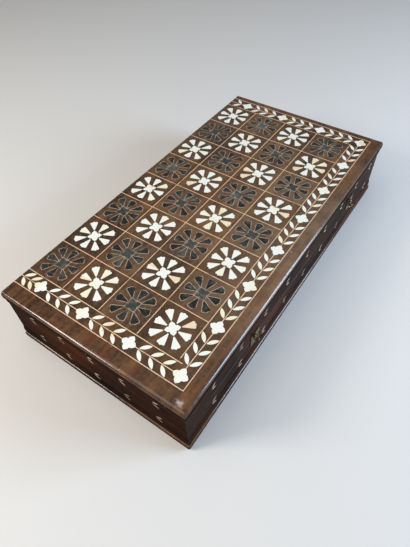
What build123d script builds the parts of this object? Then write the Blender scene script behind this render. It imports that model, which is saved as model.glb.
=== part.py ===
from build123d import *
from math import asin, cos, degrees, hypot, radians, sin, sqrt
import os

# Folding chess board box: two shallow trays of dark wood hinged along one long side.
# Each outer face carries half of an inlaid chess board, each inner face half of a backgammon board.
# Closed, the trays lie rim to rim. X runs from the hinge side to the latch side, Y from the near end
# to the far end, Z up, with the origin under the middle of the closed box. All sizes are millimetres.

os.makedirs("parts", exist_ok=True)

# Board layout
square = 48.0
columns = 4
rows = 8
band = 20.0
near_margin = 18.0
far_margin = 11.0
latch_margin = 15.0

# Trays
tray_height = 41.0
rim_gap = 0.3
fold_gap = 0.3
panel_thickness = 9.0
wall_thickness = 10.0
overhang = 2.4
nose_round = 4.0
nose_corner_round = 1.3
nose_underside_round = 1.6
rim_ease = 0.4

# Cove moulding under the overhanging panel edge
cove_height = 10.0
cove_setback = 1.7
cove_lip = 0.3
cove_radius = 26.0

# Inlay
inlay_depth = 1.2
glue_line = 0.1
string_width = 0.8
column_line_stop = 1.5
inner_line_stop = 3.4
inner_line_overrun = 4.8

# Rosette in each square
rosette_margin = 3.9
block_side = 11.5
block_notch_radius = 1.6
block_notch_depth = 1.1
block_corner_cut = 0.5
petal_gap = 0.8
petal_tip_width = 1.0
petal_width = 8.6
petal_crown = 2.3
scallop_width = 3.2
scallop_sink = 1.1
side_scallop_rise = 1.3
side_scallop_swell = 0.4

# Vine in the border band
star_margin = 1.9
star_notch_radius = 1.5
star_notch_depth = 0.9
star_corner_cut = 1.1
near_star_pitch = 58.0
long_star_gaps = 7
leaf_margin = 0.5
leaf_width = 4.0
leaf_angle = 42.0
leaf_base = 0.9
sprig_after_star = 11.5
sprig_before_star = 19.8
sprig_spacing = 13.4
hinge_end_sprigs = (3.5, 13.0)

# Sprigs on the outside of the walls
wall_leaf_length = 8.5
wall_leaf_width = 2.3
wall_leaf_angle = 25.0
wall_leaf_base = 1.3
wall_sprig_height = 16.5
end_wall_first_sprig = 30.0
end_wall_sprig_pitch = 39.5
long_wall_first_sprig = 42.0
long_wall_sprig_pitch = 47.5
wall_sprig_end_room = 20.0

# Backgammon points on the inner faces
points_per_side = 6
point_gap = 1.2
point_wall_gap = 1.0
point_middle_gap = 96.0

# Butt hinges let into the rims of the two hinge walls
hinge_length = 50.0
hinge_inset = 85.0
knuckle_count = 5
knuckle_radius = 2.2
knuckle_gap = 0.3
hinge_pin_radius = 1.1
hinge_pin_clearance = 0.05
hinge_pin_head_radius = 1.6
hinge_pin_head = 0.5
leaf_plate_width = 8.6
leaf_plate_thickness = 1.3
knuckle_relief = 0.35
mortise_clearance = 0.1

# Hinge screws
screws_per_leaf = 3
screw_head_radius = 1.9
screw_shank_radius = 0.95
screw_length = 8.0
screw_slot_width = 0.5
screw_slot_depth = 0.35
screw_end_inset = 8.0
screw_clearance = 0.05

# Swing-hook latches on the latch walls
near_latch_inset = 119.5
far_latch_inset = 90.0
latch_plate_length = 16.0
latch_plate_height = 8.8
latch_plate_thickness = 0.8
latch_plate_corner = 1.8
latch_plate_rise = 5.0
hook_pivot_rise = 5.2
hook_slant = 2.6
hook_thickness = 1.0
hook_lift = 0.45
hook_play = 0.1
hook_eye_radius = 2.5
hook_arm_width = 3.0
hook_end_radius = 3.0
hook_tab_radius = 1.5
rivet_radius = 1.0
rivet_head_radius = 1.9
rivet_head_height = 0.6
rivet_head_bevel = 0.36
stud_radius = 0.9
stud_knob_radius = 1.7
stud_knob_length = 2.8
stud_knob_round = 1.1
stud_clearance = 0.25
stud_depth = 6.0
pin_shank_radius = 0.5
pin_head_radius = 0.8
pin_head_height = 0.3
pin_head_shoulder = (0.56, 0.17)
pin_length = 6.0
pin_edge_inset = 1.5
pin_clearance = 0.05

# Derived layout, measured from the hinge face of a tray and from its near edge
field_width = columns * square
field_length = rows * square
board_width = field_width + band + latch_margin
board_length = near_margin + band + field_length + band + far_margin
field_near = near_margin + band
field_far = field_near + field_length
outer_near = near_margin
outer_far = field_far + band
outer_latch = field_width + band
stem_near = near_margin + band / 2
stem_far = field_far + band / 2
stem_latch = field_width + band / 2

# Derived places in the frame of the whole box
mid_height = tray_height + rim_gap / 2
closed_height = 2 * mid_height
hook_base = latch_plate_thickness + hook_lift
hook_top = hook_base + hook_thickness
head_seat = hook_top + hook_play
outer_reach = max(overhang, head_seat + stud_knob_length)
overall_width = knuckle_radius + fold_gap / 2 + board_width - overhang + outer_reach
hinge_axis_x = knuckle_radius - overall_width / 2
face_x = hinge_axis_x + fold_gap / 2
edge_x = face_x + board_width
near_y = -board_length / 2
far_y = board_length / 2
wall_x = edge_x - overhang
wall_near_y = near_y + overhang
wall_far_y = far_y - overhang
rim_z = mid_height + rim_gap / 2
panel_z = closed_height - panel_thickness
mid_plane = Plane.XY.offset(mid_height)

board_top = Plane(origin=(face_x, near_y, closed_height))
board_pockets = board_top.offset(-inlay_depth)
board_inside = Plane(origin=(face_x, near_y, panel_z))

# Derived rosette sizes
block_half = block_side / 2
side_petal_start = block_half + petal_gap
corner_petal_start = block_half * sqrt(2) + petal_gap
petal_length = square / 2 - rosette_margin - side_petal_start
petal_shoulder = petal_length - petal_crown

# Derived vine sizes
band_reach = band / 2 - string_width / 2
star_radius = band_reach - star_margin
star_side = star_radius * sqrt(2) + star_corner_cut
leaf_length = (band_reach - leaf_margin - leaf_base) / sin(radians(leaf_angle))
long_star_pitch = (stem_far - stem_near) / long_star_gaps


def save(part, name):
    """Label a finished piece and write it under its own name."""
    part.label = name
    export_step(part, f"parts/{name}.step")


def save_twin(part, name):
    """Write the lower tray's mirror image of an upper tray piece."""
    save(mirror(part, about=mid_plane), name)


def raised(sketch):
    """Every face of a sketch raised to a separate piece of inlay."""
    return extrude(sketch, amount=inlay_depth)


class Petal(BaseSketchObject):
    """One flaring rosette petal, tip at the origin, crown of three scallops towards +X."""

    def __init__(self, grow=0.0, rotation=0.0, align=None, mode=Mode.ADD):
        notch = (petal_length - scallop_sink, scallop_width / 2)
        shoulder = (petal_shoulder, petal_width / 2)
        lobe = (petal_shoulder + side_scallop_rise, (petal_width + scallop_width) / 4 + side_scallop_swell)
        with BuildSketch() as outline:
            with BuildLine():
                Line((0, petal_tip_width / 2), shoulder)
                ThreePointArc(shoulder, lobe, notch)
                ThreePointArc(notch, (petal_length, 0), (notch[0], -notch[1]))
                ThreePointArc((notch[0], -notch[1]), (lobe[0], -lobe[1]), (shoulder[0], -shoulder[1]))
                Line((shoulder[0], -shoulder[1]), (0, -petal_tip_width / 2))
                Line((0, -petal_tip_width / 2), (0, petal_tip_width / 2))
            make_face()
            if grow:
                offset(amount=grow, kind=Kind.INTERSECTION)
        super().__init__(obj=outline.sketch, rotation=rotation, align=align, mode=mode)


class NotchedSquare(BaseSketchObject):
    """A square with blunted corners and a small round notch in the middle of each side."""

    def __init__(self, side, notch, corner_cut, grow=0.0, rotation=0.0, align=None, mode=Mode.ADD):
        notch_radius, notch_depth = notch
        with BuildSketch() as outline:
            Rectangle(side, side)
            chamfer(outline.vertices(), length=corner_cut)
            with PolarLocations(side / 2 + notch_radius - notch_depth, 4):
                Circle(notch_radius, mode=Mode.SUBTRACT)
            if grow:
                offset(amount=grow, kind=Kind.INTERSECTION)
        super().__init__(obj=outline.sketch, rotation=rotation, align=align, mode=mode)


class Leaf(BaseSketchObject):
    """A lens-shaped leaf with its stalk end at the origin, pointing along +X."""

    def __init__(self, length, width, grow=0.0, rotation=0.0, align=None, mode=Mode.ADD):
        with BuildSketch() as outline:
            with BuildLine():
                ThreePointArc((0, 0), (length / 2, width / 2), (length, 0))
                ThreePointArc((length, 0), (length / 2, -width / 2), (0, 0))
            make_face()
            if grow:
                offset(amount=grow, kind=Kind.INTERSECTION)
        super().__init__(obj=outline.sketch, rotation=rotation, align=align, mode=mode)


def rosettes(squares, grow=0.0):
    """Eight petals round a notched block in each of the given squares."""
    centres = [((i + 0.5) * square, field_near + (j + 0.5) * square) for i, j in squares]
    with Locations(*centres):
        NotchedSquare(block_side, (block_notch_radius, block_notch_depth), block_corner_cut, grow)
        with PolarLocations(side_petal_start, 4):
            Petal(grow)
        with PolarLocations(corner_petal_start, 4, start_angle=45):
            Petal(grow)


def strips(places, along, start, end, grow=0.0):
    """Equal straight strips of stringing along X or Y that run from start to end at each place."""
    length = end - start + 2 * grow
    across = string_width + 2 * grow
    middle = (start + end) / 2
    if along == "X":
        with Locations(*[(middle, place) for place in places]):
            Rectangle(length, across)
    else:
        with Locations(*[(place, middle) for place in places]):
            Rectangle(across, length)


def stringing(grow=0.0):
    """Lines between the squares and on both sides of the border band."""
    butt = string_width / 2 + glue_line
    column_lines = [i * square for i in range(1, columns)]
    row_lines = [field_near + j * square for j in range(1, rows)]
    strips(column_lines, "Y", field_near + column_line_stop, field_far - butt, grow)
    strips(row_lines, "X", 0.0, square - butt, grow)
    for i in range(1, columns):
        strips(row_lines, "X", i * square + butt, (i + 1) * square - butt, grow)
    strips([field_near], "X", 0.0, field_width + inner_line_overrun, grow)
    strips([field_width], "Y", field_near + inner_line_stop, field_far - butt, grow)
    strips([field_far], "X", 0.0, field_width + string_width / 2, grow)
    strips([outer_near, outer_far], "X", 0.0, outer_latch - butt, grow)
    strips([outer_latch], "Y", outer_near - string_width / 2, outer_far + string_width / 2, grow)


def steps(first, last, spacing):
    """Evenly spaced places from first to last, as near to the given spacing as they allow."""
    gaps = max(1, round((last - first) / spacing))
    return [first + (last - first) * k / gaps for k in range(gaps + 1)]


def near_stars():
    """Star places along the near and far bands, counted back from the latch corner."""
    count = int((stem_latch - star_radius) / near_star_pitch) + 1
    return [stem_latch - k * near_star_pitch for k in range(count)][::-1]


def sprigs_between(stars):
    """Sprig places between neighbouring stars along a band."""
    places = []
    for first, second in zip(stars, stars[1:]):
        places += steps(first + sprig_after_star, second - sprig_before_star, sprig_spacing)
    return places


cross_stars = near_stars()
long_stars = [stem_near + k * long_star_pitch for k in range(long_star_gaps + 1)]
far_run = [2 * stem_latch - x for x in cross_stars[::-1]]
last_sprig_far = stem_latch - (cross_stars[0] - sprig_after_star)

star_places = [(x, stem_near) for x in cross_stars]
star_places += [(stem_latch, y) for y in long_stars[1:-1]]
star_places += [(x, stem_far) for x in cross_stars]

sprig_places = [Location((x, stem_near), 0) for x in hinge_end_sprigs]
sprig_places += [Location((x, stem_near), 0) for x in sprigs_between(cross_stars)]
sprig_places += [Location((stem_latch, y), 90) for y in sprigs_between(long_stars)]
sprig_places += [Location((2 * stem_latch - x, stem_far), 180) for x in sprigs_between(far_run)]
sprig_places += [Location((stem_latch - last_sprig_far, stem_far), 180)]


def stems(grow=0.0):
    """The vine's stem, in straight lengths between the stars."""
    clear = star_radius + glue_line
    strips([stem_near, stem_far], "X", 0.0, cross_stars[0] - clear, grow)
    for first, second in zip(cross_stars, cross_stars[1:]):
        strips([stem_near, stem_far], "X", first + clear, second - clear, grow)
    for first, second in zip(long_stars, long_stars[1:]):
        strips([stem_latch], "Y", first + clear, second - clear, grow)


def stars(grow=0.0):
    """Four-lobed stars along the vine, set corner to corner across the band."""
    with Locations(*star_places):
        NotchedSquare(star_side, (star_notch_radius, star_notch_depth), star_corner_cut, grow, rotation=45)


def sprigs(places, length, width, angle, base, grow=0.0):
    """Pairs of leaves that open forwards from the stem."""
    with Locations(*places):
        with Locations(Location((0, base), angle), Location((0, -base), -angle)):
            Leaf(length, width, grow)


def border_leaves(grow=0.0):
    """The leaf pairs of the border vine."""
    sprigs(sprig_places, leaf_length, leaf_width, leaf_angle, leaf_base, grow)


even_squares = [(i, j) for i in range(columns) for j in range(rows) if (i + j) % 2 == 0]
odd_squares = [(i, j) for i in range(columns) for j in range(rows) if (i + j) % 2 == 1]

inner_hinge = wall_thickness
inner_latch = board_width - overhang - wall_thickness
inner_near = overhang + wall_thickness
inner_far = board_length - overhang - wall_thickness
point_pitch = (inner_latch - inner_hinge) / points_per_side
point_length = (inner_far - inner_near - point_middle_gap) / 2 - point_wall_gap


def points(parity, grow=0.0):
    """Long triangles that stand on the near and far walls, every second one of a row."""
    half = (point_pitch - point_gap) / 2
    for k in range(points_per_side):
        centre = inner_hinge + (k + 0.5) * point_pitch
        near_base = inner_near + point_wall_gap
        far_base = inner_far - point_wall_gap
        base, reach = (near_base, point_length) if k % 2 == parity else (far_base, -point_length)
        with BuildSketch(mode=Mode.PRIVATE) as triangle:
            with BuildLine():
                Polyline((centre - half, base), (centre + half, base), (centre, base + reach), close=True)
            make_face()
            if grow:
                offset(amount=grow, kind=Kind.INTERSECTION)
        add(triangle.sketch)


# Panels: the board itself, with its edge nose and a pocket for every inlay
with BuildPart() as upper_panel:
    with BuildSketch(board_inside):
        Rectangle(board_width, board_length, align=Align.MIN)
    extrude(amount=panel_thickness)
    outer_corners = upper_panel.edges().filter_by(Axis.Z).group_by(Axis.X)[-1]
    fillet(outer_corners, radius=nose_corner_round)
    for rim_face, round_over in ((-1, nose_round), (0, nose_underside_round)):
        rim = upper_panel.faces().sort_by(Axis.Z)[rim_face].edges()
        fillet(rim.filter_by(lambda e: e.center().X > face_x + nose_corner_round), radius=round_over)
    with BuildSketch(board_inside):
        points(0, glue_line)
        points(1, glue_line)
    extrude(amount=inlay_depth, mode=Mode.SUBTRACT)
    channel = string_width / 2 + glue_line
    with BuildSketch(board_top):
        with Locations((0, outer_near - channel)):
            Rectangle(outer_latch + channel, outer_far - outer_near + 2 * channel, align=Align.MIN)
    extrude(amount=-inlay_depth, mode=Mode.SUBTRACT)
save(upper_panel.part, "upper_panel")
save_twin(upper_panel.part, "lower_panel")

# Face veneer: dark wood laid in the panel's shallow recess, sawn into squares and border pieces
# by the stringing, and pierced for every rosette, star, stem and leaf
with BuildSketch(board_pockets) as veneer_face:
    with Locations((0, outer_near)):
        Rectangle(outer_latch, outer_far - outer_near, align=Align.MIN)
    with BuildSketch(mode=Mode.SUBTRACT):
        stringing(glue_line)
        stems(glue_line)
        stars(glue_line)
        border_leaves(glue_line)
    with BuildSketch(mode=Mode.SUBTRACT):
        rosettes(even_squares + odd_squares, glue_line)
upper_veneer = raised(veneer_face.sketch)
save(upper_veneer, "upper_veneer")
save_twin(upper_veneer, "lower_veneer")

# Rosettes: the two halves swap colours, so that the chequer runs on across the fold
with BuildSketch(board_pockets) as even_face:
    rosettes(even_squares)
with BuildSketch(board_pockets) as odd_face:
    rosettes(odd_squares)
even_rosettes = raised(even_face.sketch)
odd_rosettes = raised(odd_face.sketch)
save(even_rosettes, "upper_ebony_rosettes")
save(odd_rosettes, "upper_bone_rosettes")
save_twin(even_rosettes, "lower_bone_rosettes")
save_twin(odd_rosettes, "lower_ebony_rosettes")

# Stringing, stems, stars and leaves of the board face
for draw, name in (
    (stringing, "stringing"),
    (stems, "border_stems"),
    (stars, "border_stars"),
    (border_leaves, "border_leaves"),
):
    with BuildSketch(board_pockets) as inlay_face:
        draw()
    inlay = raised(inlay_face.sketch)
    save(inlay, f"upper_{name}")
    save_twin(inlay, f"lower_{name}")

# Backgammon points, which also swap colours between the halves
for parity, upper_name, lower_name in (
    (0, "upper_light_points", "lower_dark_points"),
    (1, "upper_dark_points", "lower_light_points"),
):
    with BuildSketch(board_inside) as point_face:
        points(parity)
    point_row = raised(point_face.sketch)
    save(point_row, upper_name)
    save_twin(point_row, lower_name)

# Outer faces of the walls, each with its X axis running round the box in the vine's direction
sprig_z = mid_height + wall_sprig_height
near_face = Plane(origin=(face_x, wall_near_y, sprig_z), x_dir=(1, 0, 0), z_dir=(0, -1, 0))
latch_face = Plane(origin=(wall_x, near_y, sprig_z), x_dir=(0, 1, 0), z_dir=(1, 0, 0))
far_face = Plane(origin=(face_x, wall_far_y, sprig_z), x_dir=(-1, 0, 0), z_dir=(0, 1, 0))


def sprig_row(first, pitch, length):
    """Distances of the wall sprigs from the start of a wall, as many as leave room at its end."""
    count = int((length - wall_sprig_end_room - first) / pitch) + 1
    return [first + k * pitch for k in range(count)]


end_row = sprig_row(end_wall_first_sprig, end_wall_sprig_pitch, board_width)
long_row = sprig_row(long_wall_first_sprig, long_wall_sprig_pitch, board_length)
wall_sprigs = (
    (near_face, [(x, 0) for x in end_row]),
    (latch_face, [(y, 0) for y in long_row]),
    (far_face, [(-x, 0) for x in end_row]),
)


def wall_leaves(places, grow=0.0):
    """The leaf pairs of one wall."""
    sprigs(places, wall_leaf_length, wall_leaf_width, wall_leaf_angle, wall_leaf_base, grow)


with BuildPart() as upper_wall_leaves:
    for face, places in wall_sprigs:
        with BuildSketch(face.offset(-inlay_depth)):
            wall_leaves(places)
        extrude(amount=inlay_depth)
save(upper_wall_leaves.part, "upper_wall_leaves")
save_twin(upper_wall_leaves.part, "lower_wall_leaves")

# Hinge places, and the knuckles that belong to the upper and lower leaves
hinge_places = {"near": near_y + hinge_inset, "far": far_y - hinge_inset}
knuckle_pitch = hinge_length / knuckle_count
lower_knuckles = range(0, knuckle_count, 2)
upper_knuckles = range(1, knuckle_count, 2)
plate_start = hinge_axis_x + knuckle_radius + knuckle_relief
plate_end = face_x + leaf_plate_width
screw_x = (plate_start + plate_end) / 2
screw_span = hinge_length - 2 * screw_end_inset
screw_offsets = [screw_span * (k / (screws_per_leaf - 1) - 0.5) for k in range(screws_per_leaf)]
head_depth = screw_head_radius - screw_shank_radius

# Latch places: pivot on the upper plate, stud on the lower one, both on the wall's outer face
latch_places = {"near": near_y + near_latch_inset, "far": far_y - far_latch_inset}
pivot_point = (-hook_slant, hook_pivot_rise)
stud_point = (hook_slant, -hook_pivot_rise)
pin_x = latch_plate_length / 2 - pin_edge_inset
pin_y = latch_plate_height / 2 - pin_edge_inset
pin_points = [(sx * pin_x, sy * pin_y) for sx in (-1, 1) for sy in (-1, 1)]


def latch_wall_plane(y):
    """The latch wall's outer face at one latch: X along the wall, Y up, Z outwards."""
    return Plane(origin=(wall_x, y, mid_height), x_dir=(0, 1, 0), z_dir=(1, 0, 0))


def drill(plane, places, radius, depth):
    """Round holes into a face at the given places of its plane."""
    with BuildSketch(plane) as holes:
        with Locations(*places):
            Circle(radius)
    extrude(holes.sketch, amount=-depth, mode=Mode.SUBTRACT)


# Walls, mitred at the four corners
corner_near_hinge = ((face_x, wall_near_y), (face_x + wall_thickness, wall_near_y + wall_thickness))
corner_near_latch = ((wall_x, wall_near_y), (wall_x - wall_thickness, wall_near_y + wall_thickness))
corner_far_latch = ((wall_x, wall_far_y), (wall_x - wall_thickness, wall_far_y - wall_thickness))
corner_far_hinge = ((face_x, wall_far_y), (face_x + wall_thickness, wall_far_y - wall_thickness))


def wall_block(start, end):
    """A wall between two mitred corners, from the rim up to the panel, with its outer rim eased."""
    with BuildSketch(Plane.XY.offset(rim_z)) as outline:
        with BuildLine():
            Polyline(start[0], end[0], end[1], start[1], close=True)
        make_face()
    block = extrude(outline.sketch, amount=panel_z - rim_z)
    rim = block.faces().sort_by(Axis.Z)[0].edges()
    middle = ((start[0][0] + end[0][0]) / 2, (start[0][1] + end[0][1]) / 2, rim_z)
    chamfer(rim.sort_by_distance(middle)[0], length=rim_ease)


with BuildPart() as upper_wall_near:
    wall_block(corner_near_hinge, corner_near_latch)
    with BuildSketch(near_face):
        wall_leaves(wall_sprigs[0][1], glue_line)
    extrude(amount=-inlay_depth, mode=Mode.SUBTRACT)
save(upper_wall_near.part, "upper_wall_near")
save_twin(upper_wall_near.part, "lower_wall_near")

with BuildPart() as upper_wall_far:
    wall_block(corner_far_latch, corner_far_hinge)
    with BuildSketch(far_face):
        wall_leaves(wall_sprigs[2][1], glue_line)
    extrude(amount=-inlay_depth, mode=Mode.SUBTRACT)
save(upper_wall_far.part, "upper_wall_far")
save_twin(upper_wall_far.part, "lower_wall_far")

with BuildPart() as latch_wall_blank:
    wall_block(corner_near_latch, corner_far_latch)
    with BuildSketch(latch_face):
        wall_leaves(wall_sprigs[1][1], glue_line)
    extrude(amount=-inlay_depth, mode=Mode.SUBTRACT)
    for place in latch_places.values():
        plate_plane = latch_wall_plane(place)
        pin_holes = [(x, latch_plate_rise + y) for x, y in pin_points]
        drill(plate_plane, pin_holes, pin_shank_radius + pin_clearance, pin_length)

with BuildPart() as upper_wall_latch:
    add(latch_wall_blank.part)
    for place in latch_places.values():
        drill(latch_wall_plane(place), [pivot_point], rivet_radius + pin_clearance, stud_depth)
save(upper_wall_latch.part, "upper_wall_latch")

with BuildPart() as lower_wall_latch:
    mirror(latch_wall_blank.part, about=mid_plane)
    for place in latch_places.values():
        drill(latch_wall_plane(place), [stud_point], stud_radius + pin_clearance, stud_depth)
save(lower_wall_latch.part, "lower_wall_latch")

with BuildPart() as upper_wall_hinge:
    wall_block(corner_far_hinge, corner_near_hinge)
    for place in hinge_places.values():
        with BuildSketch(Plane(origin=(face_x, place, rim_z))):
            with Locations(((leaf_plate_width + mortise_clearance) / 2, 0)):
                Rectangle(leaf_plate_width + mortise_clearance, hinge_length + 2 * mortise_clearance)
        extrude(amount=leaf_plate_thickness, mode=Mode.SUBTRACT)
        with Locations(Location((hinge_axis_x, place, mid_height), (90, 0, 0))):
            barrel_room = hinge_length + 2 * hinge_pin_head + 2 * mortise_clearance
            Cylinder(knuckle_radius + knuckle_relief, barrel_room, mode=Mode.SUBTRACT)
        rim_plane = Plane(origin=(screw_x, place, rim_z), z_dir=(0, 0, -1), x_dir=(1, 0, 0))
        screw_spots = [(0, offset_y) for offset_y in screw_offsets]
        drill(rim_plane, screw_spots, screw_shank_radius + screw_clearance, screw_length + screw_clearance)
save(upper_wall_hinge.part, "upper_wall_hinge")
save_twin(upper_wall_hinge.part, "lower_wall_hinge")


# Coves: a hollow moulding in the angle between the walls and the overhanging panel edge
def cove_section():
    """Section with X outwards from the wall and Y up to the underside of the panel."""
    reach = overhang - cove_setback
    with BuildLine() as outline:
        Polyline((cove_lip, -cove_height), (0, -cove_height), (0, 0), (reach, 0))
        RadiusArc((reach, 0), (cove_lip, -cove_height), cove_radius)
    make_face(outline.edges())


near_latch_mitre = Plane(origin=(edge_x, near_y, 0), z_dir=(1, 1, 0))
far_latch_mitre = Plane(origin=(edge_x, far_y, 0), z_dir=(1, -1, 0))

with BuildPart() as upper_cove_near:
    with BuildSketch(Plane(origin=(edge_x, wall_near_y, panel_z), x_dir=(0, -1, 0), z_dir=(-1, 0, 0))):
        cove_section()
    extrude(amount=board_width)
    split(bisect_by=near_latch_mitre, keep=Keep.BOTTOM)
save(upper_cove_near.part, "upper_cove_near")
save_twin(upper_cove_near.part, "lower_cove_near")

with BuildPart() as upper_cove_latch:
    with BuildSketch(Plane(origin=(wall_x, far_y, panel_z), x_dir=(1, 0, 0), z_dir=(0, -1, 0))):
        cove_section()
    extrude(amount=board_length)
    split(bisect_by=near_latch_mitre, keep=Keep.TOP)
    split(bisect_by=far_latch_mitre, keep=Keep.TOP)
save(upper_cove_latch.part, "upper_cove_latch")
save_twin(upper_cove_latch.part, "lower_cove_latch")

with BuildPart() as upper_cove_far:
    with BuildSketch(Plane(origin=(face_x, wall_far_y, panel_z), x_dir=(0, 1, 0), z_dir=(1, 0, 0))):
        cove_section()
    extrude(amount=board_width)
    split(bisect_by=far_latch_mitre, keep=Keep.BOTTOM)
save(upper_cove_far.part, "upper_cove_far")
save_twin(upper_cove_far.part, "lower_cove_far")


# Hinges: leaves let into the rims, with knuckles rolled round a loose pin
def hinge_leaf(place, side, knuckles):
    """One leaf, above (side 1) or below (side -1) the parting plane, with its own knuckles."""
    face_z = mid_height + side * rim_gap / 2
    exposed_face = Plane(origin=(0, place, face_z), x_dir=(1, 0, 0), z_dir=(0, 0, -side))
    starts = [place - hinge_length / 2 + k * knuckle_pitch + knuckle_gap / 2 for k in knuckles]
    knuckle_length = knuckle_pitch - knuckle_gap
    with BuildPart() as leaf:
        with BuildSketch(Plane(origin=(0, place, face_z))):
            with Locations((screw_x, 0)):
                Rectangle(plate_end - plate_start, hinge_length)
            for start in starts:
                with Locations(((hinge_axis_x + plate_start) / 2, start - place + knuckle_length / 2)):
                    Rectangle(plate_start - hinge_axis_x, knuckle_length)
        extrude(amount=side * leaf_plate_thickness)
        for start in starts:
            with Locations(Location((hinge_axis_x, start + knuckle_length / 2, mid_height), (90, 0, 0))):
                Cylinder(knuckle_radius, knuckle_length)
        with Locations(Location((hinge_axis_x, place, mid_height), (90, 0, 0))):
            Cylinder(hinge_pin_radius + hinge_pin_clearance, 2 * hinge_length, mode=Mode.SUBTRACT)
        screw_seats = [exposed_face.location * Location((screw_x, offset_y)) for offset_y in screw_offsets]
        with Locations(*screw_seats):
            CounterSinkHole(
                screw_shank_radius + screw_clearance,
                screw_head_radius + screw_clearance,
                depth=leaf_plate_thickness,
                counter_sink_angle=90,
            )
    return leaf.part


for end, place in hinge_places.items():
    save(hinge_leaf(place, 1, upper_knuckles), f"{end}_hinge_upper_leaf")
    save(hinge_leaf(place, -1, lower_knuckles), f"{end}_hinge_lower_leaf")
    with BuildPart() as hinge_pin:
        with Locations(Location((hinge_axis_x, place, mid_height), (90, 0, 0))):
            Cylinder(hinge_pin_radius, hinge_length)
            head_middle = (hinge_length + hinge_pin_head) / 2
            with Locations((0, 0, head_middle), (0, 0, -head_middle)):
                Cylinder(hinge_pin_head_radius, hinge_pin_head)
    save(hinge_pin.part, f"{end}_hinge_pin")

# Hinge screws: countersunk, slotted, with the head's face at the origin and the point downwards
with BuildPart() as screw:
    with BuildSketch(Plane.XZ):
        with BuildLine():
            Polyline(
                (0, 0),
                (screw_head_radius, 0),
                (screw_shank_radius, -head_depth),
                (screw_shank_radius, -screw_length + 2 * screw_shank_radius),
                (0, -screw_length),
                close=True,
            )
        make_face()
    revolve(axis=Axis.Z)
    with BuildSketch(Plane.XY):
        Rectangle(screw_slot_width, 2 * screw_head_radius + screw_slot_width)
    extrude(amount=-screw_slot_depth, mode=Mode.SUBTRACT)

for tray, side in (("upper", 1), ("lower", -1)):
    seats = [
        Plane(origin=(screw_x, place + offset_y, mid_height + side * rim_gap / 2), z_dir=(0, 0, -side))
        for place in hinge_places.values()
        for offset_y in screw_offsets
    ]
    with BuildPart() as hinge_screws:
        with Locations(*seats):
            add(screw.part)
    save(hinge_screws.part, f"{tray}_hinge_screws")

# Latches: a plate on each tray, a rivet and a stud, and a hook that swings on the rivet
hook_reach = hypot(2 * hook_slant, 2 * hook_pivot_rise)
hook_heading = -degrees(asin(2 * hook_pivot_rise / hook_reach))
hook_slot = stud_radius + stud_clearance

for end, place in latch_places.items():
    wall_plane = latch_wall_plane(place)
    for tray, side, hole_point, hole_radius in (
        ("upper", 1, pivot_point, rivet_radius + pin_clearance),
        ("lower", -1, stud_point, stud_radius + pin_clearance),
    ):
        with BuildPart() as latch_plate:
            with BuildSketch(wall_plane):
                with Locations((0, side * latch_plate_rise)):
                    RectangleRounded(latch_plate_length, latch_plate_height, latch_plate_corner)
                    with Locations(*pin_points):
                        Circle(pin_shank_radius + pin_clearance, mode=Mode.SUBTRACT)
                with Locations(hole_point):
                    Circle(hole_radius, mode=Mode.SUBTRACT)
            extrude(amount=latch_plate_thickness)
        save(latch_plate.part, f"{end}_latch_{tray}_plate")

    with BuildPart() as latch_rivet:
        with BuildSketch(wall_plane.offset(-stud_depth)):
            with Locations(pivot_point):
                Circle(rivet_radius)
        extrude(amount=stud_depth + head_seat)
        with BuildSketch(wall_plane.offset(latch_plate_thickness)):
            with Locations(pivot_point):
                Circle((rivet_radius + hook_eye_radius) / 2)
        extrude(amount=hook_lift - hook_play)
        with BuildSketch(wall_plane.offset(head_seat)):
            with Locations(pivot_point):
                Circle(rivet_head_radius)
        extrude(amount=rivet_head_height)
        chamfer(latch_rivet.edges().group_by(Axis.X)[-1], length=rivet_head_bevel)
    save(latch_rivet.part, f"{end}_latch_rivet")

    with BuildPart() as latch_stud:
        with BuildSketch(wall_plane.offset(-stud_depth)):
            with Locations(stud_point):
                Circle(stud_radius)
        extrude(amount=stud_depth + head_seat)
        with BuildSketch(wall_plane.offset(head_seat)):
            with Locations(stud_point):
                Circle(stud_knob_radius)
        extrude(amount=stud_knob_length)
        fillet(latch_stud.edges().group_by(Axis.X)[-1], radius=stud_knob_round)
    save(latch_stud.part, f"{end}_latch_stud")

    hook_dir = (0, cos(radians(hook_heading)), sin(radians(hook_heading)))
    pivot_place = wall_plane.from_local_coords(pivot_point)
    hook_plane = Plane(origin=pivot_place, x_dir=hook_dir, z_dir=(1, 0, 0))
    with BuildPart() as latch_hook:
        with BuildSketch(hook_plane.offset(hook_base)):
            Circle(hook_eye_radius)
            with Locations((hook_reach / 2, 0)):
                Rectangle(hook_reach, hook_arm_width)
            with Locations((hook_reach, 0)):
                Circle(hook_end_radius)
            with Locations((hook_reach + hook_tab_radius, hook_end_radius - hook_tab_radius / 2)):
                Circle(hook_tab_radius)
            Circle(rivet_radius + pin_clearance, mode=Mode.SUBTRACT)
            with Locations((hook_reach, 0)):
                Circle(hook_slot, mode=Mode.SUBTRACT)
            with BuildSketch(mode=Mode.PRIVATE) as stud_path:
                Circle(hook_reach + hook_slot)
                Circle(hook_reach - hook_slot, mode=Mode.SUBTRACT)
                with Locations((hook_reach, -hook_end_radius)):
                    Rectangle(2 * hook_end_radius, 2 * hook_end_radius, mode=Mode.INTERSECT)
            add(stud_path.sketch, mode=Mode.SUBTRACT)
        extrude(amount=hook_thickness)
    save(latch_hook.part, f"{end}_latch_hook")

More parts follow.
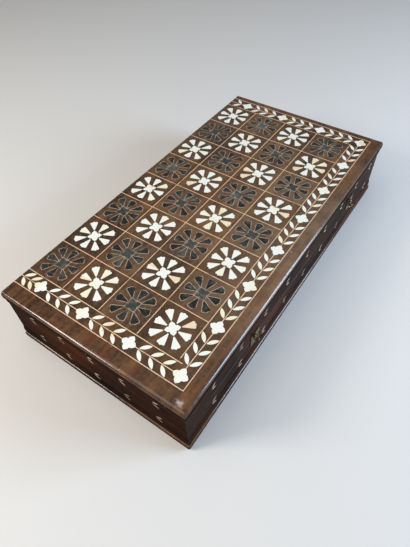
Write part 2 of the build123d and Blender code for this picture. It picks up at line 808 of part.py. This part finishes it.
# Latch pins: small round-headed pins, four to a plate
with BuildPart() as brass_pin:
    with BuildSketch(Plane.XZ):
        with BuildLine():
            Polyline((pin_head_radius, 0), (pin_shank_radius, 0), (pin_shank_radius, -pin_length))
            Polyline((pin_shank_radius, -pin_length), (0, -pin_length), (0, pin_head_height))
            ThreePointArc((0, pin_head_height), pin_head_shoulder, (pin_head_radius, 0))
        make_face()
    revolve(axis=Axis.Z)

for tray, side in (("upper", 1), ("lower", -1)):
    seats = [
        Location(latch_wall_plane(place).offset(latch_plate_thickness))
        * Location((x, side * latch_plate_rise + y, 0))
        for place in latch_places.values()
        for x, y in pin_points
    ]
    with BuildPart() as latch_pins:
        with Locations(*seats):
            add(brass_pin.part)
    save(latch_pins.part, f"{tray}_latch_pins")
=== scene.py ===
"""Dresses the folding chess board box: woods, bone, ebony, stringing and brass, with its stage and camera."""

from math import pi

import bmesh
import bpy
from bpy.props import FloatProperty, FloatVectorProperty, PointerProperty
from mathutils import Euler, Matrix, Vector


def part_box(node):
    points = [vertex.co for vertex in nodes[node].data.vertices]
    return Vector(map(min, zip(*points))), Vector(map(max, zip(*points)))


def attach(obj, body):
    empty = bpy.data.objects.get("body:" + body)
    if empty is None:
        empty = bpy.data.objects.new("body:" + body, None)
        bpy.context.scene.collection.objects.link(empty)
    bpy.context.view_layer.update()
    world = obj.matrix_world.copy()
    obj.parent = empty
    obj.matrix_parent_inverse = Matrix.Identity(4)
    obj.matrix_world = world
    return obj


bl_info = {
    "name": "Folding chess board",
    "version": (1, 0, 0),
    "blender": (4, 5, 0),
    "location": "3D View > Sidebar > Chess Board",
    "description": "Finishes and stage for an inlaid folding chess board box",
    "category": "Object",
}

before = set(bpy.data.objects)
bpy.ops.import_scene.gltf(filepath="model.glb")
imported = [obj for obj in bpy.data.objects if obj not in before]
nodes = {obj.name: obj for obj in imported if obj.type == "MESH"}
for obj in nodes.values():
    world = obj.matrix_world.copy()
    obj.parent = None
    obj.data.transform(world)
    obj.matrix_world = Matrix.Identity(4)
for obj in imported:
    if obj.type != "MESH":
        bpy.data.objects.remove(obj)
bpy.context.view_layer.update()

TRAYS = ("upper", "lower")
ENDS = ("near", "far")
MM = 0.001

# The board face, in the frame of the closed box
panel_low, panel_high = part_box("upper_panel")
FACE_X = panel_low.x
MIDDLE_Z = panel_high.z / 2
SQUARE = 48 * MM
COLUMNS = 4
ROWS = 8
NEAR_MARGIN = 18 * MM
BAND = 20 * MM
FIELD_NEAR = panel_low.y + NEAR_MARGIN + BAND

# Inlay: reach of a rosette's block in squares, and the steps at which small pieces change tone
PETALS = 8
BLOCK_REACH = 0.126
BORDER_TONE_STEP = 14.5 * MM
WALL_TONE_STEP = 20 * MM

# Wear and painted sheen: a grey film of dull varnish and painted sheen, thickest on the latch side where the
# window's light falls, and the corner rubbed to bare wood
SHEEN_FILM_START_X = -80 * MM
SHEEN_FILM_RISE = 200 * MM
SHEEN_FILM_MIDDLE_Y = -20 * MM
SHEEN_FILM_LENGTH = 190 * MM
WORN_CORNER = (102 * MM, -218.5 * MM)
WORN_REACH = 6 * MM
WORN_RAGGED = 16 * MM
WORN_EDGE = 7 * MM

# Walls and coves by the way of their grain, each with the varnish left on its upright faces
WALLS = {
    "X": (("wall_near", "wall_far", "cove_near", "cove_far"), 0.06),
    "Y": (("wall_latch", "wall_hinge", "cove_latch"), 0.2),
}
GRAIN = {"X": (0.06, 1, 1), "Y": (1, 0.06, 1)}

# Filler rims: how far they lie above the face, and what counts as one corner and as one level
RIM_LIFT = 0.01 * MM
WELD = 0.001 * MM
SAME_LEVEL = 0.01 * MM

# Stage
FLOOR_REACH = 6.0
FLOOR_DROP = 0.3 * MM
SENSOR = 36.0
CLIP_START = 0.01
SKY_TINT = (0.98, 0.97, 0.96)
# Each lamp's place, the point that it faces, its side and its tint
LAMPS = {
    "window": ((1.2, 0.62, 0.5), (0.1, 0, 0.05), 0.75, (0.56, 0.74, 1.0)),
    "room": ((-0.62, -0.85, 0.72), (0, 0, 0.05), 0.35, (1.0, 0.97, 0.93)),
    "ceiling": ((-0.1, -0.5, 1.25), (0, 0.1, 0), 1.2, (1.0, 0.95, 0.88)),
}


def linear(red, green, blue):
    """A colour given as it looks on a screen, 0 to 255, taken through the screen's curve to linear values."""
    values = (red, green, blue)
    return tuple(((value / 255 + 0.055) / 1.055) ** 2.4 if value > 10 else value / 3294 for value in values)


def colour_property(name, description, red, green, blue):
    """A colour that the user can change."""
    return FloatVectorProperty(
        name=name,
        description=description,
        subtype="COLOR",
        size=3,
        min=0.0,
        max=1.0,
        default=linear(red, green, blue),
    )


def watts_property(name, description, watts):
    """A lamp's power."""
    return FloatProperty(name=name, description=description, default=watts, min=0.0, max=500.0, unit="POWER")


class WoodSettings(bpy.types.PropertyGroup):
    """Colours and polish of the dark wood."""

    field_dark: colour_property("Field dark", "Darkest tone of the face veneer", 40, 27, 17)
    field_light: colour_property("Field light", "Lightest tone of the face veneer", 112, 79, 47)
    margin_dark: colour_property("Margin dark", "Darkest tone of the panel's frame", 40, 22, 13)
    margin_light: colour_property("Margin light", "Lightest tone of the panel's frame", 98, 65, 37)
    # Also the painted shade on the panel frames' upright sides
    wall_dark_and_side_shade: colour_property("Wall dark", "Darkest tone of the walls", 17, 9, 5)
    wall_light: colour_property("Wall light", "Lightest tone of the walls", 50, 26, 14)
    flame: colour_property("Flame", "Reddish streaks in all the dark wood", 82, 39, 19)
    # Painted sheen as well as dull varnish: the grey film laid over the latch side
    haze_and_sheen: colour_property("Haze", "Grey film where the varnish has dulled", 154, 131, 107)
    worn: colour_property("Worn", "Bare wood where the varnish has gone", 186, 174, 166)
    polish: FloatProperty(
        name="Polish", description="Strength of the varnish over the wood", default=0.8, min=0.0, max=1.0
    )
    grain_depth: FloatProperty(
        name="Grain depth",
        description="Depth of the pores",
        default=0.12 * MM,
        min=0.0,
        max=1 * MM,
        unit="LENGTH",
    )


class InlaySettings(bpy.types.PropertyGroup):
    """Colours of the inlay."""

    bone_white: colour_property("Bone", "Clean polished bone", 208, 209, 200)
    bone_yellow: colour_property("Yellowed bone", "Pieces that have yellowed", 208, 202, 168)
    bone_peach: colour_property("Stained bone", "Pieces that have taken up stain", 204, 176, 148)
    wall_bone: colour_property("Wall bone", "Worn leaves of the walls", 176, 156, 136)
    wall_bone_dark: colour_property("Dark wall bone", "Dirtiest leaves of the walls", 84, 66, 54)
    ebony_dark: colour_property("Ebony", "Black wood of the dark rosettes", 16, 18, 17)
    ebony_light: colour_property("Ebony sheen", "Grey-green bloom on the black wood", 104, 106, 98)
    point_grain: colour_property("Dark points", "Lighter grain of the dark points inside", 58, 55, 48)
    string_light: colour_property("Stringing", "Pale strips between the squares", 206, 170, 138)
    string_dark: colour_property("Stringing dirt", "Stained lengths of the strips", 140, 100, 74)


class FillerSettings(bpy.types.PropertyGroup):
    """Colour and width of the fine lines round the black petals."""

    colour: colour_property("Filler", "Pale filler round the black petals", 164, 146, 130)
    width: FloatProperty(
        name="Filler width",
        description="Width of the filler line round a black petal",
        default=0.6 * MM,
        min=0.1 * MM,
        max=1 * MM,
        unit="LENGTH",
    )


class BrassSettings(bpy.types.PropertyGroup):
    """Colours of the latches and hinges."""

    bright: colour_property("Brass", "Rubbed brass", 132, 117, 74)
    aged: colour_property("Aged brass", "Brown patina in the hollows", 38, 34, 19)


class StageSettings(bpy.types.PropertyGroup):
    """Floor, lamps and camera."""

    floor: colour_property("Floor", "Plain floor and backdrop", 190, 188, 184)
    camera_place: FloatVectorProperty(
        name="Camera place",
        description="Where the camera stands",
        subtype="TRANSLATION",
        unit="LENGTH",
        size=3,
        default=(0.205548, -0.321124, 0.423052),
    )
    camera_turn: FloatVectorProperty(
        name="Camera turn",
        description="Camera angles",
        subtype="EULER",
        size=3,
        default=(39.3844 * pi / 180, 1.1310 * pi / 180, 34.3342 * pi / 180),
    )
    lens: FloatProperty(
        name="Lens", description="Focal length", default=28.549, min=10.0, max=200.0, unit="CAMERA"
    )
    window_watts: watts_property("Window", "Power of the window lamp", 35.0)
    room_watts: watts_property("Room", "Power of the lamp in front", 10.5)
    ceiling_watts: watts_property("Ceiling", "Power of the overhead lamp", 10.0)
    sky: FloatProperty(
        name="Sky", description="Strength of the surrounding light", default=0.36, min=0.0, max=5.0
    )


class BoardSettings(bpy.types.PropertyGroup):
    """All settings of the chess board."""

    wood: PointerProperty(type=WoodSettings)
    inlay: PointerProperty(type=InlaySettings)
    filler: PointerProperty(type=FillerSettings)
    brass: PointerProperty(type=BrassSettings)
    stage: PointerProperty(type=StageSettings)


class Shade:
    """A shader socket whose arithmetic adds Math nodes to its finish."""

    def __init__(self, finish, socket):
        self.finish = finish
        self.socket = socket

    def math(self, operation, *others, clamp=False):
        """The result of a Math node on this value and up to two others."""
        values = dict(enumerate((self, *others)))
        return self.finish.node("ShaderNodeMath", {"operation": operation, "use_clamp": clamp}, values)

    def __add__(self, other):
        return self.math("ADD", other)

    def __radd__(self, other):
        return self.math("ADD", other)

    def __mul__(self, other):
        return self.math("MULTIPLY", other)

    def __rmul__(self, other):
        return self.math("MULTIPLY", other)

    def __sub__(self, other):
        return self.math("SUBTRACT", other)

    def __rsub__(self, other):
        return self.math("MULTIPLY", -1.0) + other

    def __truediv__(self, other):
        return self.math("DIVIDE", other)

    def __lt__(self, other):
        return self.math("LESS_THAN", other)

    def __gt__(self, other):
        return self.math("GREATER_THAN", other)

    def __abs__(self):
        return self.math("ABSOLUTE")

    def clamped(self):
        """This value held between 0 and 1."""
        return self.math("ADD", 0.0, clamp=True)

    def fade(self, low, high):
        """0 where this value is at low or below it, rising smoothly to 1 at high."""
        values = {"Value": self, "From Min": low, "From Max": high}
        return self.finish.node("ShaderNodeMapRange", {"interpolation_type": "SMOOTHSTEP"}, values)


class Finish:
    """A procedural material under construction."""

    def __init__(self, name, **fixed):
        self.material = bpy.data.materials.new(name)
        self.material.use_nodes = True
        self.tree = self.material.node_tree
        self.surface = self.tree.nodes["Principled BSDF"]
        for socket, value in fixed.items():
            self.surface.inputs[socket.replace("_", " ")].default_value = value
        self.place = self.node("ShaderNodeTexCoord", output="Object")

    def node(self, kind, settings=None, values=None, output=0):
        """Add a node, set it up, feed its sockets with values or other results, and give one output."""
        made = self.tree.nodes.new(kind)
        for key, value in (settings or {}).items():
            setattr(made, key, value)
        for key, value in (values or {}).items():
            self.feed(made.inputs[key], value)
        return Shade(self, made.outputs[output])

    def feed(self, socket, value):
        """Link a result to a socket, or set the socket's own value."""
        if isinstance(value, Shade):
            self.tree.links.new(value.socket, socket)
        elif socket.type == "RGBA" and len(value) == 3:
            socket.default_value = (*value, 1.0)
        else:
            socket.default_value = value

    def paint(self, **results):
        """Feed the surface's own sockets."""
        for name, value in results.items():
            self.feed(self.surface.inputs[name.replace("_", " ")], value)

    def noise(self, scale, stretch=(1, 1, 1), detail=4.0, roughness=0.55, distortion=0.0, shift=(0, 0, 0)):
        """Cloudy noise with this many features to the metre, drawn out along an axis with a small stretch."""
        mapping = {"Vector": self.place, "Scale": stretch, "Location": shift}
        spot = self.node("ShaderNodeMapping", None, mapping)
        values = {"Vector": spot, "Scale": scale, "Detail": detail, "Roughness": roughness,
                  "Distortion": distortion}
        return self.node("ShaderNodeTexNoise", None, values)

    def mix(self, amount, first, second):
        """Colours mixed by an amount from 0 to 1."""
        return self.node("ShaderNodeMix", {"data_type": "RGBA"}, {0: amount, 6: first, 7: second}, output=2)

    def axes(self, vector=None):
        """X, Y and Z of a vector, or of the place in metres, as values."""
        split = self.node("ShaderNodeSeparateXYZ", None, {0: vector or self.place})
        return [Shade(self, output) for output in split.socket.node.outputs]

    def upright(self):
        """How far the surface faces up, from -1 to 1, in the piece's own coordinates."""
        return self.axes(self.node("ShaderNodeTexCoord", output="Normal"))[2]

    def bump(self, height, distance):
        """Relief whose height from 0 to 1 stands for this distance in metres."""
        self.paint(Normal=self.node("ShaderNodeBump", None, {"Height": height, "Distance": distance}))

    def chance(self, *parts):
        """An even random value for a set of whole numbers."""
        spot = self.node("ShaderNodeCombineXYZ", None, dict(enumerate(parts)))
        settings = {"noise_dimensions": "3D"}
        return self.node("ShaderNodeTexWhiteNoise", settings, {"Vector": spot}, output="Value")


def in_both_trays(*parts):
    """The names of these parts' nodes in the two trays."""
    return [f"{tray}_{part}" for tray in TRAYS for part in parts]


def dress(names, material):
    """Give CAD nodes their material."""
    for name in names:
        mesh = nodes[name].data
        mesh.materials.clear()
        mesh.materials.append(material)


def square_place(finish):
    """Column and row of a place on the board face, and its offset from the square's middle, in squares."""
    x, y, _ = finish.axes()
    across = (x - FACE_X) / SQUARE
    along = (y - FIELD_NEAR) / SQUARE
    column = across.math("FLOOR")
    row = along.math("FLOOR")
    return column, row, across - column - 0.5, along - row - 0.5


def grained_wood(name, dark, light, along, settings, side_coat=0.08, level_from=0.15):
    """Varnished dark wood with its grain along an axis; returns the finish and its colour for more work.

    Upright faces have only side_coat of the varnish's gloss, and faces that lie level have it all.
    """
    finish = Finish(name, Specular_IOR_Level=0.0, Coat_Roughness=0.14)
    stretch = GRAIN[along]
    growth = finish.noise(110, stretch, detail=5, roughness=0.6, distortion=0.6)
    pores = finish.noise(1400, stretch, detail=2, roughness=0.5)
    clouds = finish.noise(16, detail=3, shift=(3, 1, 2))
    mottle = finish.noise(240, detail=4, roughness=0.7, shift=(4, 8, 1))
    tone = (growth - 0.5) * 2.0 + (clouds - 0.5) * 1.6 + (mottle - 0.5) * 1.5 + 0.46
    tone = (tone - pores.fade(0.6, 0.72) * 0.4).clamped()
    long_stretch = (stretch[0] * 3, stretch[1] * 3, 1)
    streaks = finish.noise(30, long_stretch, detail=4, shift=(9, 4, 6)).fade(0.52, 0.72)
    colour = finish.mix(streaks * 0.6, finish.mix(tone, dark, light), settings.flame)
    smears = finish.noise(38, detail=5, roughness=0.65, shift=(7, 7, 7))
    level = abs(finish.upright()).fade(level_from, level_from + 0.24)
    finish.paint(
        Base_Color=colour,
        Roughness=smears.fade(0.3, 0.75) * 0.22 + 0.24,
        Coat_Weight=(level * (1 - smears.fade(0.45, 0.7) * 0.4) + side_coat) * settings.polish,
    )
    finish.bump(growth * 0.5 - pores.fade(0.58, 0.75), settings.grain_depth)
    return finish, colour


class CHESS_BOARD_OT_wood(bpy.types.Operator):
    """Finish the panels, their veneer, the walls and the mouldings"""

    bl_idname = "chess_board.wood"
    bl_label = "Wood"

    def execute(self, context):
        wood = context.scene.chess_board.wood
        self.veneer(wood)
        self.panels(wood)
        for along, (parts, side_coat) in WALLS.items():
            name = f"wall_wood_{along.lower()}"
            finish, _ = grained_wood(name, wood.wall_dark_and_side_shade, wood.wall_light, along, wood, side_coat, 0.75)
            dress(in_both_trays(*parts), finish.material)
        return {"FINISHED"}

    def veneer(self, wood):
        """Face veneer, each square with its own tone, under a grey film of dull varnish and painted sheen;
        the ebony rosettes' squares are duller, with more of that film.
        """
        finish, colour = grained_wood("face_veneer", wood.field_dark, wood.field_light, "Y", wood)
        column, row, _, _ = square_place(finish)
        leaf = finish.chance(column, row, 3.0)
        _, _, z = finish.axes()
        field = (column < COLUMNS - 0.5) * (row > -0.5) * (row < ROWS - 0.5)
        ebony_square = abs((column + row).math("FLOORED_MODULO", 2.0) - (z > MIDDLE_Z)) * field
        tinted = finish.mix(leaf * 0.35 + (1 - ebony_square) * 0.18 + 0.04, colour, wood.field_dark)
        # Grey film of dull varnish and painted sheen, with more of it on the ebony rosettes' squares
        film = self.dulled_and_sheen(finish) * (0.8 + ebony_square * 0.5)
        finish.paint(Base_Color=finish.mix(film.clamped(), tinted, wood.haze_and_sheen))
        dress(in_both_trays("veneer"), finish.material)

    def dulled_and_sheen(self, finish):
        """Amount of grey film of dull varnish and painted sheen: cloudy, and thickest in the middle of the
        latch side, where the window's light falls.
        """
        x, y, _ = finish.axes()
        film = finish.noise(22, detail=5, roughness=0.65, shift=(6, 3, 3)).fade(0.3, 0.8)
        across = ((x - SHEEN_FILM_START_X) / SHEEN_FILM_RISE).clamped()
        along = (1.2 - abs(y - SHEEN_FILM_MIDDLE_Y) / SHEEN_FILM_LENGTH).clamped()
        return (film * 0.35 + 0.1) * (across * along) * 0.9

    def panels(self, wood):
        """Panel frames, rubbed through to bare wood at one corner, with a few flecks, a grey film of dull
        varnish and painted sheen, and painted shade on their upright sides.
        """
        finish, colour = grained_wood("panel_wood", wood.margin_dark, wood.margin_light, "Y", wood)
        x, y, z = finish.axes()
        ragged = finish.noise(420, detail=4, roughness=0.7)
        across = x - WORN_CORNER[0]
        along = y - WORN_CORNER[1]
        away = (across * across + along * along * 2.2).math("SQRT")
        rubbed = (WORN_REACH - away + (ragged - 0.5) * WORN_RAGGED).fade(0.0, WORN_EDGE) * (z > MIDDLE_Z)
        flecks = finish.noise(330, detail=1, shift=(5, 2, 9)).fade(0.79, 0.81)
        # Grey film of dull varnish and painted sheen over the frame's colour
        with_haze_and_sheen = finish.mix(self.dulled_and_sheen(finish) * 1.2, colour, wood.haze_and_sheen)
        # Painted shade: the frame's upright sides take the walls' dark tone, darker than its top
        faces = finish.mix(abs(finish.upright()).fade(0.0, 0.5), wood.wall_dark_and_side_shade, with_haze_and_sheen)
        finish.paint(Base_Color=finish.mix((rubbed * 0.6 + flecks * 0.5).clamped(), faces, wood.worn))
        dress(in_both_trays("panel"), finish.material)


class CHESS_BOARD_OT_inlay(bpy.types.Operator):
    """Finish the rosettes, stars, leaves, stems and stringing"""

    bl_idname = "chess_board.inlay"
    bl_label = "Inlay"

    def execute(self, context):
        inlay = context.scene.chess_board.inlay
        self.bone_rosettes(inlay)
        self.small_bone(inlay)
        self.wall_bone(inlay)
        self.ebony(inlay)
        self.stringing(inlay)
        self.points(inlay)
        return {"FINISHED"}

    def bone_finish(self, name):
        """Polished bone, with its fine streaks as relief."""
        finish = Finish(name, Coat_Weight=0.35, Coat_Roughness=0.15, IOR=1.52)
        streaks = finish.noise(700, (1, 0.2, 1), detail=3)
        clouds = finish.noise(90, detail=4, roughness=0.6)
        finish.paint(Roughness=clouds.fade(0.3, 0.7) * 0.15 + 0.25)
        finish.bump(streaks, 0.05 * MM)
        return finish, streaks, clouds

    def bone_tones(self, finish, pick, streaks, clouds, inlay):
        """Bone colour: mostly clean, some pieces yellowed or stained, with pores and dirt."""
        yellowed = finish.mix(pick.fade(0.6, 1.0), inlay.bone_white, inlay.bone_yellow)
        stained = finish.mix(pick.fade(0.9, 0.96) * clouds.fade(0.3, 0.55) * 0.7, yellowed, inlay.bone_peach)
        dirt = (streaks.fade(0.62, 0.8) * 0.25 + clouds.fade(0.6, 0.85) * 0.2).clamped()
        return finish.mix(dirt, stained, inlay.bone_peach)

    def bone_rosettes(self, inlay):
        """Every petal of a rosette is a separate piece of bone with its own tone."""
        finish, streaks, clouds = self.bone_finish("rosette_bone")
        column, row, across, along = square_place(finish)
        sector = (along.math("ARCTAN2", across) * (PETALS / (2 * pi)) + 0.5).math("FLOOR")
        block = abs(across).math("MAXIMUM", abs(along)) < BLOCK_REACH
        pick = finish.chance(column + block * 7, row, sector * (1 - block))
        finish.paint(Base_Color=self.bone_tones(finish, pick, streaks, clouds, inlay))
        dress(in_both_trays("bone_rosettes"), finish.material)

    def small_bone(self, inlay):
        """Stars and leaves, whose tone changes from piece to piece along the border."""
        finish, streaks, clouds = self.bone_finish("border_bone")
        x, y, _ = finish.axes()
        pick = finish.chance((x / BORDER_TONE_STEP).math("FLOOR"), (y / BORDER_TONE_STEP).math("FLOOR"), 1.0)
        finish.paint(Base_Color=self.bone_tones(finish, pick, streaks, clouds, inlay))
        dress(in_both_trays("border_stars", "border_leaves"), finish.material)

    def wall_bone(self, inlay):
        """The walls' leaves, worn and dirty, some of them hardly to be seen."""
        finish = Finish("wall_bone", Specular_IOR_Level=0.1)
        steps = (WALL_TONE_STEP, WALL_TONE_STEP, MIDDLE_Z)
        pick = finish.chance(*((part / step).math("FLOOR") for part, step in zip(finish.axes(), steps)))
        dirt = finish.noise(260, detail=4, roughness=0.7)
        tone = (pick * 0.7 + dirt.fade(0.4, 0.65) * 0.6 - 0.2).clamped()
        finish.paint(
            Base_Color=finish.mix(tone, inlay.wall_bone, inlay.wall_bone_dark),
            Roughness=dirt * 0.2 + 0.4,
        )
        finish.bump(dirt, 0.05 * MM)
        dress(in_both_trays("wall_leaves"), finish.material)

    def ebony(self, inlay):
        """Black wood, dulled in patches by a grey bloom."""
        finish = Finish("rosette_ebony", Specular_IOR_Level=0.3, Coat_Weight=0.2, Coat_Roughness=0.2)
        bloom = finish.noise(60, detail=6, roughness=0.7, shift=(1, 5, 2))
        pores = finish.noise(900, (1, 0.3, 1), detail=2)
        scuffs = finish.noise(380, (0.5, 1, 1), detail=5, roughness=0.75, shift=(8, 2, 4)).fade(0.54, 0.7)
        column, row, across, along = square_place(finish)
        middle = (across * across + along * along).fade(0.03, 0.01)
        worn = finish.chance(column, row, 5.0) * (column * 0.2 + 0.6)
        tone = (bloom.fade(0.45, 0.7) * 0.45 + middle * 0.2 + scuffs * 0.6) * (worn * 0.8 + 0.4)
        finish.paint(
            Base_Color=finish.mix(tone.clamped(), inlay.ebony_dark, inlay.ebony_light),
            Roughness=bloom.fade(0.3, 0.7) * 0.2 + 0.3,
        )
        finish.bump(pores, 0.08 * MM)
        dress(in_both_trays("ebony_rosettes"), finish.material)

    def stringing(self, inlay):
        """Pale strips, stained here and there."""
        finish = Finish("stringing_boxwood", Coat_Weight=0.3, Coat_Roughness=0.2, IOR=1.5)
        stain = finish.noise(45, detail=5, roughness=0.7)
        fibres = finish.noise(1200, detail=2)
        tone = (stain.fade(0.52, 0.72) + fibres.fade(0.55, 0.8) * 0.2).clamped()
        finish.paint(
            Base_Color=finish.mix(tone, inlay.string_light, inlay.string_dark),
            Roughness=fibres * 0.2 + 0.3,
        )
        finish.bump(fibres, 0.04 * MM)
        dress(in_both_trays("stringing", "border_stems"), finish.material)

    def points(self, inlay):
        """Long points of the inner faces, in pale and in black wood."""
        for part, dark, light in (("light", inlay.string_dark, inlay.string_light),
                                  ("dark", inlay.ebony_dark, inlay.point_grain)):
            finish = Finish(f"{part}_point_wood", Coat_Weight=0.15, Coat_Roughness=0.3, IOR=1.5)
            growth = finish.noise(160, (1, 0.05, 1), detail=5, distortion=0.4)
            pores = finish.noise(1400, (1, 0.06, 1), detail=2)
            tone = (growth.fade(0.3, 0.65) - pores.fade(0.6, 0.75) * 0.3).clamped()
            finish.paint(Base_Color=finish.mix(tone, dark, light), Roughness=growth * 0.2 + 0.35)
            finish.bump(growth - pores, 0.06 * MM)
            dress(in_both_trays(f"{part}_points"), finish.material)


class CHESS_BOARD_OT_filler(bpy.types.Operator):
    """Run a fine line of pale filler round every black petal and block"""

    bl_idname = "chess_board.filler"
    bl_label = "Filler lines"

    def execute(self, context):
        filler = context.scene.chess_board.filler
        wood = context.scene.chess_board.wood
        finish = Finish("joint_filler", IOR=1.45)
        crumbs = finish.noise(900, detail=4, roughness=0.7)
        gaps = finish.noise(120, detail=3, shift=(2, 2, 8))
        tone = (crumbs.fade(0.4, 0.75) * 0.4 + gaps.fade(0.45, 0.7) * 0.85).clamped()
        finish.paint(
            Base_Color=finish.mix(tone, filler.colour, wood.field_dark),
            Roughness=crumbs * 0.2 + 0.55,
        )
        for tray, outward in (("upper", 1), ("lower", -1)):
            piece = self.line_round(f"{tray}_ebony_rosettes", outward, filler.width)
            piece.name = f"{tray}_rosette_filler"
            piece.data.materials.append(finish.material)
            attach(piece, f"{tray}_tray")
        return {"FINISHED"}

    def line_round(self, name, outward, width):
        """Flat rims that follow the outlines of a node's showing faces, a hair outside them."""
        low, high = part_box(name)
        level = high.z if outward > 0 else low.z
        mesh = nodes[name].data.copy()
        shape = bmesh.new()
        shape.from_mesh(mesh)
        bmesh.ops.remove_doubles(shape, verts=shape.verts, dist=WELD)
        off_level = {vert for vert in shape.verts if abs(vert.co.z - level) > SAME_LEVEL}
        hidden = [face for face in shape.faces if not off_level.isdisjoint(face.verts)]
        bmesh.ops.delete(shape, geom=hidden, context="FACES")
        showing = list(shape.faces)
        if not showing:
            raise RuntimeError(f"{name} has no face at its surface")
        bmesh.ops.dissolve_faces(shape, faces=showing, use_verts=False)
        petals = list(shape.faces)
        rims = set(bmesh.ops.inset_individual(shape, faces=petals, thickness=-width, depth=0.0)["faces"])
        bmesh.ops.delete(shape, geom=[face for face in shape.faces if face not in rims], context="FACES")
        bmesh.ops.translate(shape, verts=shape.verts, vec=(0, 0, outward * RIM_LIFT))
        shape.normal_update()
        bmesh.ops.reverse_faces(shape, faces=[face for face in shape.faces if face.normal.z * outward < 0])
        mesh.clear_geometry()
        shape.to_mesh(mesh)
        shape.free()
        mesh.materials.clear()
        piece = bpy.data.objects.new("rim", mesh)
        bpy.context.scene.collection.objects.link(piece)
        return piece


class CHESS_BOARD_OT_brass(bpy.types.Operator):
    """Finish the hinges, latches, screws and pins"""

    bl_idname = "chess_board.brass"
    bl_label = "Brass"

    def execute(self, context):
        brass = context.scene.chess_board.brass
        finish = Finish("aged_brass", Metallic=1.0)
        patina = finish.noise(160, detail=6, roughness=0.7)
        rubs = finish.noise(700, (1, 0.3, 0.3), detail=3)
        tone = (patina.fade(0.4, 0.68) * 0.75 + rubs.fade(0.5, 0.8) * 0.3).clamped()
        finish.paint(Base_Color=finish.mix(tone, brass.bright, brass.aged), Roughness=tone * 0.28 + 0.24)
        finish.bump(patina + rubs * 0.4, 0.08 * MM)
        parts = ("hinge_upper_leaf", "hinge_lower_leaf", "hinge_pin", "latch_upper_plate",
                 "latch_lower_plate", "latch_rivet", "latch_stud", "latch_hook")
        dress([f"{end}_{part}" for end in ENDS for part in parts], finish.material)
        dress(in_both_trays("hinge_screws", "latch_pins"), finish.material)
        return {"FINISHED"}


class CHESS_BOARD_OT_stage(bpy.types.Operator):
    """Set the floor, the lamps, the surrounding light and the camera"""

    bl_idname = "chess_board.stage"
    bl_label = "Stage"

    def execute(self, context):
        stage = context.scene.chess_board.stage
        scene = context.scene
        scene.view_settings.view_transform = "Standard"
        self.floor(scene, stage)
        self.sky(scene, stage)
        for name, watts in (("window", stage.window_watts), ("room", stage.room_watts),
                            ("ceiling", stage.ceiling_watts)):
            self.lamp(scene, name, watts, *LAMPS[name])
        self.camera(scene, stage)
        return {"FINISHED"}

    def floor(self, scene, stage):
        """A wide plain floor under the box."""
        shape = bmesh.new()
        bmesh.ops.create_grid(shape, x_segments=1, y_segments=1, size=FLOOR_REACH)
        bmesh.ops.translate(shape, verts=shape.verts, vec=(0, 0, -FLOOR_DROP))
        mesh = bpy.data.meshes.new("floor")
        shape.to_mesh(mesh)
        shape.free()
        piece = bpy.data.objects.new("floor", mesh)
        scene.collection.objects.link(piece)
        finish = Finish("floor_paint", IOR=1.4)
        finish.paint(Base_Color=stage.floor, Roughness=0.75)
        mesh.materials.append(finish.material)

    def sky(self, scene, stage):
        """An even pale surround."""
        world = bpy.data.worlds.new("surround")
        world.use_nodes = True
        back = world.node_tree.nodes["Background"]
        back.inputs["Color"].default_value = (*SKY_TINT, 1.0)
        back.inputs["Strength"].default_value = stage.sky
        scene.world = world

    def lamp(self, scene, name, watts, place, target, size, tint):
        """A square soft lamp that faces a point."""
        light = bpy.data.lights.new(name, "AREA")
        light.shape = "SQUARE"
        light.size = size
        light.energy = watts
        light.color = tint
        lamp = bpy.data.objects.new(name, light)
        lamp.location = place
        lamp.rotation_euler = (Vector(target) - Vector(place)).to_track_quat("-Z", "Y").to_euler()
        scene.collection.objects.link(lamp)

    def camera(self, scene, stage):
        """The camera where the photograph was taken from."""
        lens = bpy.data.cameras.new("photograph")
        lens.lens = stage.lens
        lens.sensor_width = SENSOR
        lens.sensor_fit = "AUTO"
        lens.clip_start = CLIP_START
        camera = bpy.data.objects.new("photograph", lens)
        camera.location = stage.camera_place
        camera.rotation_euler = Euler(stage.camera_turn)
        scene.collection.objects.link(camera)
        scene.camera = camera


class CHESS_BOARD_PT_sidebar(bpy.types.Panel):
    """Lists the finishes and the stage"""

    bl_idname = "CHESS_BOARD_PT_sidebar"
    bl_label = "Chess Board"
    bl_space_type = "VIEW_3D"
    bl_region_type = "UI"
    bl_category = "Chess Board"

    def draw(self, context):
        board = context.scene.chess_board
        for group, step in ((board.wood, CHESS_BOARD_OT_wood), (board.inlay, CHESS_BOARD_OT_inlay),
                            (board.filler, CHESS_BOARD_OT_filler), (board.brass, CHESS_BOARD_OT_brass),
                            (board.stage, CHESS_BOARD_OT_stage)):
            box = self.layout.box()
            box.operator(step.bl_idname)
            for name in group.bl_rna.properties.keys():
                if name not in ("rna_type", "name"):
                    box.prop(group, name)


SETTINGS = (WoodSettings, InlaySettings, FillerSettings, BrassSettings, StageSettings, BoardSettings)
STEPS = (CHESS_BOARD_OT_wood, CHESS_BOARD_OT_inlay, CHESS_BOARD_OT_filler, CHESS_BOARD_OT_brass,
         CHESS_BOARD_OT_stage)
CLASSES = (*SETTINGS, *STEPS, CHESS_BOARD_PT_sidebar)


def register():
    """Add the classes and the scene's settings."""
    for cls in CLASSES:
        bpy.utils.register_class(cls)
    bpy.types.Scene.chess_board = PointerProperty(type=BoardSettings)


def unregister():
    """Take the settings and the classes away."""
    del bpy.types.Scene.chess_board
    for cls in reversed(CLASSES):
        bpy.utils.unregister_class(cls)


def main():
    """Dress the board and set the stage."""
    register()
    bpy.ops.chess_board.wood()
    bpy.ops.chess_board.inlay()
    bpy.ops.chess_board.filler()
    bpy.ops.chess_board.brass()
    bpy.ops.chess_board.stage()


if __name__ == "__main__":
    main()
